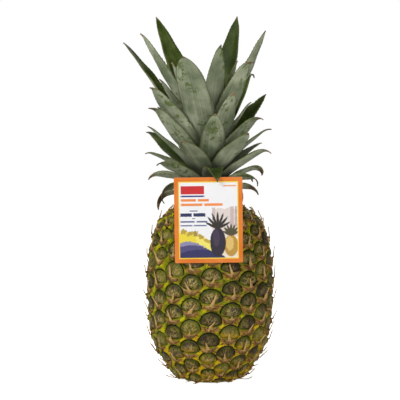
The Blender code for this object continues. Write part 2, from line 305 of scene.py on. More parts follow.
def find_eyes(column, row):
    """The eye that each point belongs to: the dome it is on, or else the bract it is on."""
    shape = np.shape(column)
    best_dome, best_bract = np.full(shape, 9.0), np.full(shape, 9.0)
    owner = {name: np.zeros(shape) for name in ("dome_column", "dome_number", "bract_column", "bract_number")}
    for beside in (-1, 0, 1, 2):
        eye_column = np.floor(column) + beside
        nearest = np.round(row - eye_column * EYE_STEP / EYE_COLUMNS)
        for above in (-1, 0, 1):
            eye_number = nearest + above
            right, up, _, _ = eye_local(column, row, eye_column, eye_number)
            share = dome_share(right, up)
            bract = np.hypot(right / 11.5, (up + 7.0) / 6.5)
            closer = share < best_dome
            best_dome = np.where(closer, share, best_dome)
            owner["dome_column"] = np.where(closer, eye_column, owner["dome_column"])
            owner["dome_number"] = np.where(closer, eye_number, owner["dome_number"])
            closer = bract < best_bract
            best_bract = np.where(closer, bract, best_bract)
            owner["bract_column"] = np.where(closer, eye_column, owner["bract_column"])
            owner["bract_number"] = np.where(closer, eye_number, owner["bract_number"])
    on_dome = best_dome < DOME_EDGE
    eye_column = np.where(on_dome, owner["dome_column"], owner["bract_column"])
    eye_number = np.where(on_dome, owner["dome_number"], owner["bract_number"])
    return eye_column, eye_number, best_dome


# %% [markdown]
# ## The height of the rind
#
# Each eye is a low glossy dome. A narrow groove runs round the top of the dome, with a soft raised
# lip outside it, and under the dome lies the fleshy foot of the bract. Sculpting 190 eyes by hand
# would be slow, so a function gives the rind's height, and every vertex is moved along it.


# %% Height of the rind, in metres


def rind_height(column, row):
    eye_column, eye_number, share = find_eyes(column, row)
    right, up, home, number = eye_local(column, row, eye_column, eye_number)
    inside = np.clip(1 - share ** 2, 0, 1)
    dome = -2.0 + 2.4 * inside ** 0.75
    over = np.clip((up - DOME_LIFT + 1.5) / 3.0, 0, 1)
    groove = -1.0 * over * np.exp(-((share - 1.05) / 0.055) ** 2)
    outside = np.clip((share - 1.0) / 0.22, 0, 1)
    outside = outside * outside * (3 - 2 * outside)
    body = 1.3 * np.exp(-(right / 6.0) ** 2 - ((up + 6.5) / 4.5) ** 2)
    lip = 0.45 * np.exp(-((share - 1.24) / 0.12) ** 2)
    folds = 0.14 * np.sin(right * 2.1 + eye_tone[home, number] * 6) * np.exp(-((up + 7) / 4) ** 2)
    tall = dome + groove + outside * (1.1 + body + lip + folds)
    fade = np.clip((row - FIRST_ROW) / 0.3, 0, 1) * np.clip((LAST_ROW - row) / 0.5, 0, 1)
    return tall * MM * (0.35 + 0.65 * fade)


print("rind height at the front eye:", round(float(rind_height(np.array(0.0), np.array(0.0))) / MM, 2), "mm")

# %% [markdown]
# ## The rind
#
# The barrel is a turned shape, so its profile is spun round the axis, with sockets for the stalk
# and for the crown's stem as in the CAD solid. Then each vertex moves out or in by the height
# function. The eye that a face belongs to is written to a UV map, as millimetres right and up
# of that eye's middle, so that the colours stay sharp however coarse the mesh is.

# %% Spin the barrel and raise the eyes
RIND_STEPS = 420
STALK_HOLE = 0.0109
STALK_DEPTH = 0.007
STEM_HOLE = 0.0139
STEM_SOCKET = 0.004
LOWEST_RIND = 0.0006
# Rings on the flat base, so that its faces aren't too long.
FLAT_RINGS = (0.0165, 0.022)


def spun(profile, steps):
    """A closed surface of revolution from (radius, height) points."""
    bm = bmesh.new()
    verts = [bm.verts.new((radius, 0.0, height)) for radius, height in profile]
    edges = [bm.edges.new(pair) for pair in zip(verts, verts[1:])]
    bmesh.ops.spin(
        bm, geom=verts + edges, cent=(0, 0, 0), axis=(0, 0, 1), angle=2 * math.pi,
        steps=steps, use_merge=True, use_duplicate=False,
    )
    bmesh.ops.remove_doubles(bm, verts=bm.verts, dist=1e-6)
    bmesh.ops.recalc_face_normals(bm, faces=bm.faces)
    return bm


def piece(name, bm, materials):
    """A finished object at the origin from a bmesh."""
    mesh = bpy.data.meshes.new(name)
    bm.to_mesh(mesh)
    bm.free()
    mesh.shade_smooth()
    for material in materials:
        mesh.materials.append(material)
    made = bpy.data.objects.new(name, mesh)
    bpy.context.scene.collection.objects.link(made)
    return made


rind_profile = [(0.0, STALK_DEPTH), (STALK_HOLE, STALK_DEPTH), (STALK_HOLE, 0.0)]
rind_profile += [(radius, 0.0) for radius in FLAT_RINGS]
rind_profile += [tuple(point) for point in outline]
socket_floor = FRUIT_HEIGHT - STEM_SOCKET
rind_profile += [(STEM_HOLE, FRUIT_HEIGHT), (STEM_HOLE, socket_floor), (0.0, socket_floor)]
rind = piece("rind_with_eyes", spun(rind_profile, RIND_STEPS), [])
mesh = rind.data
place = np.empty(len(mesh.vertices) * 3)
mesh.vertices.foreach_get("co", place)
place = place.reshape(-1, 3)
radius, height = np.hypot(place[:, 0], place[:, 1]), place[:, 2].copy()
angle = np.arctan2(place[:, 0], -place[:, 1])
on_side = np.abs(radius - np.interp(height, outline[:, 1], outline[:, 0])) < 2e-5
on_side &= (height > 1e-5) & (height < FRUIT_HEIGHT - 1e-5)
row = np.interp(height, outline[:, 1], outline_row)
column = column_of(angle, row)
lift = np.where(on_side, rind_height(column, row), 0.0)
new_radius = radius + lift * np.interp(row, outline_row, outward[:, 0])
new_height = height + lift * np.interp(row, outline_row, outward[:, 1])
new_height = np.where(on_side, np.maximum(new_height, LOWEST_RIND), new_height)
place[:, 0], place[:, 1], place[:, 2] = np.sin(angle) * new_radius, -np.cos(angle) * new_radius, new_height
mesh.vertices.foreach_set("co", place.ravel())
mesh.update()
print("rind:", len(mesh.vertices), "vertices,", int(on_side.sum()), "of them on the side")

# %% Write which eye each face belongs to
count = len(mesh.polygons)
loop_total = len(mesh.loops)
corner_vert = np.empty(loop_total, dtype=np.int64)
mesh.loops.foreach_get("vertex_index", corner_vert)
face_size = np.empty(count, dtype=np.int64)
mesh.polygons.foreach_get("loop_total", face_size)
corner_face = np.repeat(np.arange(count), face_size)
# The columns wrap round at the back, so a corner takes the turn that is nearest its face's first corner.
first_corner = np.concatenate([[0], np.cumsum(face_size)[:-1]])
corner_column = column[corner_vert]
anchor = corner_column[first_corner][corner_face]
corner_column = anchor + (corner_column - anchor + EYE_COLUMNS / 2) % EYE_COLUMNS - EYE_COLUMNS / 2
corner_row = row[corner_vert]
middle_column = np.bincount(corner_face, corner_column) / face_size
middle_row = np.bincount(corner_face, corner_row) / face_size
face_eye, face_number, _ = find_eyes(middle_column, middle_row)
corner_eye, corner_number = face_eye[corner_face], face_number[corner_face]
right, up, home, number = eye_local(corner_column, corner_row, corner_eye, corner_number)
UV_SPAN_MM = 40.0
eye_map = mesh.uv_layers.new(name="eye_map")
eye_map.data.foreach_set("uv", np.column_stack([right / UV_SPAN_MM + 0.5, up / UV_SPAN_MM + 0.5]).ravel())
tone = mesh.attributes.new("eye_tone", "FLOAT", "CORNER")
tone.data.foreach_set("value", eye_tone[home, number])
print("eye map written for", count, "faces")


RIPEST_ANGLE = math.radians(42)
RIPE_HEIGHT = 0.065


def ripeness(angle, height, tone):
    """0 green to 1 yellow. A pineapple ripens from the base up, here most at the front right."""
    low = np.clip(1.2 - height / RIPE_HEIGHT, 0, 1)
    side = (0.5 + 0.5 * np.cos(angle - RIPEST_ANGLE)) ** 2
    return np.clip(low * (0.3 + 1.5 * side) * (0.45 + 0.9 * tone), 0, 1)


ripe = mesh.attributes.new("ripe", "FLOAT", "CORNER")
ripe.data.foreach_set("value", ripeness(angle[corner_vert], height[corner_vert], eye_tone[home, number]))

# %% [markdown]
# ## Finish of the rind
#
# The rind is a leathery skin with a thin natural wax, so it is glossy in patches. The domes are
# dark olive with pale powdery pleats, the groove above them is painted almost black green as
# painted shade in the recess, the flesh of the bracts goes from lime at the outside to pinkish tan
# by the dried spine, and ripe eyes turn yellow. The eye map gives the distances, and noise breaks
# everything up.

# %% Where a point lies on its eye
waxy_rind, tree, shader = finish("waxy_pineapple_rind", 0.5, 0.14)
eye_uv = node(tree, "UVMap", uv_map="eye_map")
local = node(tree, "VectorMath", {0: eye_uv, 1: (0.5, 0.5, 0.0)}, operation="SUBTRACT")
local = node(tree, "VectorMath", {0: local, "Scale": UV_SPAN_MM}, operation="SCALE")
here = node(tree, "TexCoord", out="Object")
tone_value = node(tree, "Attribute", out="Fac", attribute_name="eye_tone")
ripe_value = node(tree, "Attribute", out="Fac", attribute_name="ripe")
# A little noise bends every boundary, so that no line is drawn with a compass.
wobble = node(tree, "TexNoise", {"Vector": here, "Scale": 260.0, "Detail": 3.0}, out="Color")
wobble = node(tree, "VectorMath", {0: wobble, 1: (0.5, 0.5, 0.5)}, operation="SUBTRACT")
bent = node(tree, "VectorMath", {0: wobble, 1: (1.8, 1.8, 0.0), 2: local}, operation="MULTIPLY_ADD")
axes = node(tree, "SeparateXYZ", {0: bent}).node.outputs
over = node(tree, "Math", {0: axes["Y"], 1: DOME_LIFT}, operation="SUBTRACT")
above = node(tree, "Math", {0: over, 1: 0.0}, operation="GREATER_THAN")
reach = node(tree, "MapRange", {0: above, 3: 1 / DOME_BOTTOM, 4: 1 / DOME_TOP})
tall = node(tree, "Math", {0: over, 1: reach}, operation="MULTIPLY")
wide = node(tree, "Math", {0: axes["X"], 1: DOME_HALF_WIDTH}, operation="DIVIDE")
pair = node(tree, "CombineXYZ", {"X": wide, "Y": tall})
share = node(tree, "VectorMath", {0: pair}, out="Value", operation="LENGTH")
# Distance and direction from the foot of the spine, for everything that fans out from it.
fan = node(tree, "VectorMath", {0: bent, 1: (0.0, -3.0, 0.0)}, operation="SUBTRACT")
fan_axes = node(tree, "SeparateXYZ", {0: fan}).node.outputs
fan_angle = node(tree, "Math", {0: fan_axes["X"], 1: fan_axes["Y"]}, operation="ARCTAN2")
flat_fan = node(tree, "VectorMath", {0: fan, 1: (0.6, 1.0, 0.0)}, operation="MULTIPLY")
fan_distance = node(tree, "VectorMath", {0: flat_fan}, out="Value", operation="LENGTH")
turns = node(tree, "Math", {0: fan_angle, 1: 9.0}, operation="MULTIPLY")
slow = node(tree, "Math", {0: fan_distance, 1: 0.25}, operation="MULTIPLY")
seed = node(tree, "Math", {0: tone_value, 1: 90.0}, operation="MULTIPLY")
ray_place = node(tree, "CombineXYZ", {"X": turns, "Y": slow, "Z": seed})
rays = node(tree, "TexNoise", {"Vector": ray_place, "Scale": 1.0, "Detail": 3.0})
print("eye coordinates:", len(tree.nodes), "nodes")

# %% Colours of the rind
patches = node(tree, "TexNoise", {"Vector": here, "Scale": 120.0, "Detail": 4.0})
specks = node(tree, "TexNoise", {"Vector": here, "Scale": 620.0, "Detail": 5.0, "Roughness": 0.7})
blush = node(tree, "TexNoise", {"Vector": here, "Scale": 75.0, "Detail": 2.0})
# Domes: a green ring round a tan middle with dark pleats, darker purple patches, pale wax powder.
ring = node(
    tree, "ValToRGB", {0: patches},
    stops=[(0.34, "1d1d01"), (0.46, "3c4003"), (0.58, "5c6106"), (0.7, "82811a")],
)
mottle = node(tree, "TexNoise", {"Vector": here, "Scale": 330.0, "Detail": 4.0, "Roughness": 0.6})
mottle = node(tree, "Math", {0: rays, 1: 1.1, 2: mottle}, operation="MULTIPLY_ADD")
core = node(
    tree, "ValToRGB", {0: node(tree, "Math", {0: mottle, 1: 0.5}, operation="MULTIPLY")},
    stops=[(0.4, "1e1305"), (0.47, "493812"), (0.53, "76651d"), (0.59, "a4915a"), (0.66, "704622")],
)
ragged = node(tree, "Math", {0: rays, 1: 0.8, 2: share}, operation="MULTIPLY_ADD")
in_core = node(tree, "MapRange", {0: ragged, 1: 1.3, 2: 0.98, 4: 0.92}, **STEP)
dome = node(tree, "Mix", {0: in_core, 6: ring, 7: core}, **MIX)
rosy = node(tree, "MapRange", {0: blush, 1: 0.54, 2: 0.64, 4: 0.85}, **STEP)
dome = node(tree, "Mix", {0: rosy, 6: dome, 7: "33241d"}, **MIX)
middle = node(tree, "MapRange", {0: share, 1: 0.95, 2: 0.25}, **STEP)
pleat = node(tree, "MapRange", {0: rays, 1: 0.45, 2: 0.62, 3: 0.1, 4: 1.0}, **STEP)
powder = node(tree, "MapRange", {0: specks, 1: 0.42, 2: 0.62}, **STEP)
powder = node(tree, "Math", {0: powder, 1: middle}, operation="MULTIPLY")
powder = node(tree, "Math", {0: powder, 1: pleat}, operation="MULTIPLY")
dome = node(tree, "Mix", {0: powder, 6: dome, 7: "b8ac7c"}, **MIX)
green_edge = node(tree, "MapRange", {0: share, 1: 0.8, 2: 0.95, 4: 0.8}, **STEP)
upper_rim = node(tree, "MapRange", {0: over, 1: -1.0, 2: 2.0}, **STEP)
green_edge = node(tree, "Math", {0: green_edge, 1: upper_rim}, operation="MULTIPLY")
dome = node(tree, "Mix", {0: green_edge, 6: dome, 7: "46500a"}, **MIX)
dome_ripe = node(tree, "MapRange", {0: ripe_value, 1: 0.45, 2: 0.95, 4: 0.9}, **STEP)
pale_eye = node(tree, "MapRange", {0: tone_value, 1: 0.62, 2: 0.9, 4: 0.35}, **STEP)
dome = node(tree, "Mix", {0: pale_eye, 6: dome, 7: "85822a"}, **MIX)
dark_eye = node(tree, "MapRange", {0: tone_value, 1: 0.34, 2: 0.08, 4: 0.55}, **STEP)
dome = node(tree, "Mix", {0: dark_eye, 6: dome, 7: "2b2013"}, **MIX)
low_side = node(tree, "MapRange", {0: over, 1: 5.0, 2: -1.0}, **STEP)
patchy = node(tree, "MapRange", {0: blush, 1: 0.4, 2: 0.55}, **STEP)
dome_ripe = node(tree, "Math", {0: dome_ripe, 1: low_side}, operation="MULTIPLY")
dome_ripe = node(tree, "Math", {0: dome_ripe, 1: patchy}, operation="MULTIPLY")
dome = node(tree, "Mix", {0: dome_ripe, 6: dome, 7: "b8930a"}, **MIX)
# Bract flesh: tan and rosy by the spine, green wings, lime lips.
flesh = node(
    tree, "ValToRGB", {0: rays},
    stops=[(0.3, "261803"), (0.42, "694a14"), (0.55, "ae8437"), (0.66, "7d5226")],
)
wing = node(tree, "ValToRGB", {0: patches}, stops=[(0.36, "484801"), (0.48, "828502"), (0.6, "bcb306")])
wing_ripe = node(tree, "MapRange", {0: ripe_value, 1: 0.25, 2: 0.6, 4: 0.95}, **STEP)
wing = node(tree, "Mix", {0: wing_ripe, 6: wing, 7: "d2b104"}, **MIX)
ragged = node(tree, "Math", {0: rays, 1: 7.0, 2: fan_distance}, operation="MULTIPLY_ADD")
# The side that faced the sun stays lime nearer to the spine.
to_the_right = node(tree, "SeparateXYZ", {0: here}, out="X")
sunny = node(tree, "MapRange", {0: to_the_right, 1: 0.02, 2: -0.055, 4: 2.6})
ragged = node(tree, "Math", {0: ragged, 1: sunny}, operation="ADD")
far = node(tree, "MapRange", {0: ragged, 1: 8.6, 2: 11.6}, **STEP)
flesh = node(tree, "Mix", {0: far, 6: flesh, 7: wing}, **MIX)
lip = node(tree, "MapRange", {0: share, 1: 1.42, 2: 1.16, 4: 0.9}, **STEP)
flesh = node(tree, "Mix", {0: lip, 6: flesh, 7: "7d8404"}, **MIX)
# The groove round the top of each dome is painted near black: painted shade in the recess.
inner_side = node(tree, "MapRange", {0: share, 1: 0.93, 2: 1.0}, **STEP)
outer_side = node(tree, "MapRange", {0: share, 1: 1.15, 2: 1.05}, **STEP)
top_side = node(tree, "MapRange", {0: over, 1: -2.0, 2: 1.5}, **STEP)
groove = node(tree, "Math", {0: inner_side, 1: outer_side}, operation="MULTIPLY")
groove = node(tree, "Math", {0: groove, 1: top_side}, operation="MULTIPLY")
outside = node(tree, "MapRange", {0: share, 1: 0.97, 2: 1.03}, **STEP)
skin = node(tree, "Mix", {0: outside, 6: dome, 7: flesh}, **MIX)
skin = node(tree, "Mix", {0: groove, 6: skin, 7: "101202"}, **MIX)
tree.links.new(skin, shader.inputs["Base Color"])
gloss = node(tree, "Math", {0: specks, 1: 0.4, 2: 0.2}, operation="MULTIPLY_ADD")
tree.links.new(gloss, shader.inputs["Roughness"])
grain = node(tree, "Math", {0: rays, 1: 0.8, 2: specks}, operation="MULTIPLY_ADD")
relief = node(tree, "Bump", {"Height": grain, "Strength": 0.45, "Distance": 0.0008})
tree.links.new(relief, shader.inputs["Normal"])
mesh.materials.append(waxy_rind)
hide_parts("fruit_body")
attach(rind, "root")
print("rind finish:", len(tree.nodes), "nodes")

# %% [markdown]
# ## Dried bracts
#
# Under every eye sits a bract. Its foot has dried to a papery star whose arms follow the eye's
# lower rim, and its tip is a thin stiff spine that stands up over the dome. Each one is a small
# grid: rows run from the lower point to the tip of the spine, and the width of each row comes
# from an outline. They hug the rind by asking for its height, so they never float.

# %% Shape of a bract
BRACT_ROWS = 9
BRACT_ACROSS = 4
# (millimetres up from the eye's middle, half the width)
BRACT = np.array((
    (-8.4, 0.6), (-7.4, 4.2), (-6.5, 7.4), (-5.4, 10.8), (-4.3, 4.4), (-3.4, 1.9),
    (-1.4, 1.0), (1.6, 0.7), (4.4, 0.45), (6.6, 0.1),
))
BRACT_ARMS = 0.05
SPINE_FOOT_MM = -4.2
SPINE_RUN_MM = 10.8
BRACT_THICKNESS = 0.0003
# The card's back: how far forward it is near its foot, how high that is, and how much further
# forward it gets with each unit of height above that.
CARD_BACK, CARD_FOOT, CARD_LEAN = 0.0592, 0.121, 0.0787
CARD_ROOM_HALF = 0.034
eye_list = []
for home in range(EYE_COLUMNS):
    for number in range(-ROW_ZERO, EYE_ROWS - ROW_ZERO):
        eye_row = number + home * EYE_STEP / EYE_COLUMNS
        if FIRST_ROW + 0.15 < eye_row < LAST_ROW - 0.1:
            eye_list.append((home, number))
eye_home, eye_number = np.array(eye_list).T
chance = np.random.default_rng(23)
bract_count = len(eye_list)
spine_size = chance.uniform(0.72, 1.2, bract_count) * np.where(chance.random(bract_count) < 0.12, 0.45, 1.0)
spine_lean = chance.uniform(-0.55, 0.55, bract_count)
spine_rise = chance.uniform(1.6, 4.6, bract_count)
arm_size = chance.uniform(0.6, 1.1, (bract_count, 2))
print(bract_count, "eyes carry a bract")

# %% Lay the bracts on the rind
bm = bmesh.new()
for _ in range(bract_count):
    bmesh.ops.create_grid(bm, x_segments=BRACT_ACROSS, y_segments=BRACT_ROWS, size=1.0)
flat = np.array([vert.co[:2] for vert in bm.verts])
per_bract = len(flat) // bract_count
which = np.repeat(np.arange(bract_count), per_bract)
side, step = flat[:, 0], np.round((flat[:, 1] + 1) / 2 * BRACT_ROWS).astype(int)
up, half = BRACT[step, 0], BRACT[step, 1]
on_spine = np.clip((up - SPINE_FOOT_MM) / SPINE_RUN_MM, 0, 1)
half = half * np.where(on_spine > 0, 1.0, np.where(side < 0, arm_size[which, 0], arm_size[which, 1]))
up = np.where(on_spine > 0, SPINE_FOOT_MM + (up - SPINE_FOOT_MM) * spine_size[which], up)
right = side * half + spine_lean[which] * np.clip(up - SPINE_FOOT_MM, 0, None)
right = right + chance.normal(0, 0.6, len(right)) * (np.abs(side) > 0.4) * (on_spine < 0.3)
up = up + chance.normal(0, 0.5, len(up)) * (np.abs(side) > 0.4) * (on_spine < 0.3)
up = up + BRACT_ARMS * (side * half) ** 2 * (on_spine <= 0.03)
size = eye_size[eye_home, eye_number + ROW_ZERO][which]
turn = eye_turn[eye_home, eye_number + ROW_ZERO][which]
shift = eye_shift[eye_home, eye_number + ROW_ZERO][which]
column = eye_home[which] + (size * (right * np.cos(turn) - up * np.sin(turn)) + shift[:, 0]) / EYE_WIDE_MM
row = eye_number[which] + eye_home[which] * EYE_STEP / EYE_COLUMNS
row = row + (size * (up * np.cos(turn) + right * np.sin(turn)) + shift[:, 1]) / EYE_HIGH_MM
row = np.clip(row, FIRST_ROW + 0.02, LAST_ROW - 0.02)
low = np.clip((FIRST_ROW + 1.6 - row) / 1.6, 0, 1)
crest = 0.6 * (1 - side ** 2) * (on_spine > 0)
rise = 1.5 + (spine_rise[which] * (1 + 0.6 * low) - 1.0) * on_spine ** 1.6 + crest
lift = np.maximum(rind_height(column, row) / MM + 0.3, np.where(on_spine > 0, rise, -9))
lift = lift + 0.35 * (1 - np.abs(side)) * (on_spine <= 0)
out_share, up_share = (np.interp(row, outline_row, part) for part in outward.T)
base_radius = np.interp(row, outline_row, outline[:, 0]) + lift * MM * out_share
base_height = np.interp(row, outline_row, outline[:, 1]) + lift * MM * up_share
base_height = np.maximum(base_height, LOWEST_RIND)
angle = angle_of(column, row)
place = np.column_stack([np.sin(angle) * base_radius, -np.cos(angle) * base_radius, base_height])
# Nothing may come through the card that hangs in front.
behind = (np.abs(place[:, 0]) < CARD_ROOM_HALF) & (place[:, 2] > CARD_FOOT - 0.003) & (place[:, 1] < 0)
limit = -(CARD_BACK + np.clip(place[:, 2] - CARD_FOOT, 0, None) * CARD_LEAN) + 0.0012
place[:, 1] = np.where(behind, np.maximum(place[:, 1], limit), place[:, 1])
for vert, point in zip(bm.verts, place):
    vert.co = point
bract_uv = bm.loops.layers.uv.new("bract_map")
for face in bm.faces:
    for loop in face.loops:
        at = loop.vert.index
        loop[bract_uv].uv = (side[at] * 0.5 + 0.5, (flat[at, 1] + 1) / 2)
tones = bm.verts.layers.float.new("eye_tone")
for vert in bm.verts:
    vert[tones] = eye_tone[eye_home[which[vert.index]], eye_number[which[vert.index]] + ROW_ZERO]
bm.faces.ensure_lookup_table()
outward_face = sum(face.normal.dot(Vector((face.verts[0].co.x, face.verts[0].co.y, 0))) for face in bm.faces)
print("bracts:", len(bm.faces), "faces, facing", "out" if outward_face > 0 else "in")

# %% [markdown]
# Dried bract tissue is straw: tan with brown fibres that run up into the spine, a rusty edge where
# the arms tear, and a darker brown tip.

# %% Dried bract finish
if outward_face < 0:
    bmesh.ops.reverse_faces(bm, faces=bm.faces)
dry_straw, tree, shader = finish("dry_straw_bract", 0.75, 0.1)
bract_uv = node(tree, "UVMap", uv_map="bract_map")
tone_value = node(tree, "Attribute", out="Fac", attribute_name="eye_tone")
lanes = node(tree, "SeparateXYZ", {0: bract_uv}).node.outputs
seed = node(tree, "Math", {0: tone_value, 1: 70.0}, operation="MULTIPLY")
stretched = node(tree, "CombineXYZ", {"X": lanes["X"], "Y": lanes["Y"], "Z": seed})
stretched = node(tree, "VectorMath", {0: stretched, 1: (9.0, 2.2, 1.0)}, operation="MULTIPLY")
fibres = node(tree, "TexNoise", {"Vector": stretched, "Scale": 1.0, "Detail": 4.0, "Roughness": 0.65})
straw = node(
    tree, "ValToRGB", {0: fibres},
    stops=[(0.3, "36240d"), (0.42, "6b4d2a"), (0.54, "977243"), (0.66, "bc9459"), (0.78, "76523c")],
)
up_spine = node(tree, "MapRange", {0: lanes["Y"], 1: 0.3, 2: 0.52}, **STEP)
pale = node(tree, "ValToRGB", {0: fibres}, stops=[(0.3, "94703f"), (0.5, "c49e62"), (0.7, "dcba80")])
straw = node(tree, "Mix", {0: up_spine, 6: straw, 7: pale}, **MIX)
foot = node(tree, "MapRange", {0: lanes["Y"], 1: 0.3, 2: 0.05, 4: 0.9}, **STEP)
straw = node(tree, "Mix", {0: foot, 6: straw, 7: "5a4c14"}, **MIX)
# Some eyes have older, greyer and darker bracts than others.
old = node(tree, "MapRange", {0: tone_value, 1: 0.35, 2: 0.95, 4: 0.6})
off_spine = node(tree, "MapRange", {0: up_spine, 3: 1.0, 4: 0.15})
old = node(tree, "Math", {0: old, 1: off_spine}, operation="MULTIPLY")
straw = node(tree, "Mix", {0: old, 6: straw, 7: "4b3826"}, **MIX)
tip = node(tree, "MapRange", {0: lanes["Y"], 1: 0.9, 2: 1.0, 4: 0.7}, **STEP)
straw = node(tree, "Mix", {0: tip, 6: straw, 7: "5a3a20"}, **MIX)
from_middle = node(tree, "Math", {0: lanes["X"], 1: 0.5}, operation="SUBTRACT")
from_middle = node(tree, "Math", {0: from_middle}, operation="ABSOLUTE")
torn = node(tree, "MapRange", {0: from_middle, 1: 0.36, 2: 0.5, 4: 0.75}, **STEP)
torn = node(tree, "Math", {0: torn, 1: fibres}, operation="MULTIPLY")
straw = node(tree, "Mix", {0: torn, 6: straw, 7: "8a4318"}, **MIX)
tree.links.new(straw, shader.inputs["Base Color"])
relief = node(tree, "Bump", {"Height": fibres, "Strength": 0.5, "Distance": 0.0004})
tree.links.new(relief, shader.inputs["Normal"])
bracts = piece("dried_bracts", bm, [dry_straw])
wall = bracts.modifiers.new("thickness", "SOLIDIFY")
wall.thickness = BRACT_THICKNESS
wall.offset = 0.0
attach(bracts, "root")
print("bract finish:", len(tree.nodes), "nodes")

# %% [markdown]
# ## Cut stalk and crown stem
#
# Both keep their CAD shape. The stalk was cut through, so its end shows rings of pale fibres with
# brown bundles, and the stem under the leaves is pale, with the scars of old leaves round it.

# %% Finishes of the stalk and the stem
for name, slot, rings, dark, light in (
    ("fibrous_cut_stalk", "cut_stalk", 900.0, "6a5230", "c2aa78"),
    ("pale_crown_stem", "crown_stem", 300.0, "77805a", "c9c9a0"),
):
    fibrous, tree, shader = finish(name, 0.8)
    here = node(tree, "TexCoord", out="Object")
    bundles = node(tree, "TexVoronoi", {"Vector": here, "Scale": rings}, out="Distance")
    cloud = node(tree, "TexNoise", {"Vector": here, "Scale": 180.0, "Detail": 4.0})
    mixed = node(tree, "Math", {0: bundles, 1: 0.5, 2: cloud}, operation="MULTIPLY_ADD")
    shade = node(tree, "ValToRGB", {0: mixed}, stops=[(0.35, dark), (0.85, light)])
    tree.links.new(shade, shader.inputs["Base Color"])
    relief = node(tree, "Bump", {"Height": mixed, "Strength": 0.4, "Distance": 0.0006})
    tree.links.new(relief, shader.inputs["Normal"])
    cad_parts[slot].data.materials[0] = fibrous
print("stalk and stem finished")
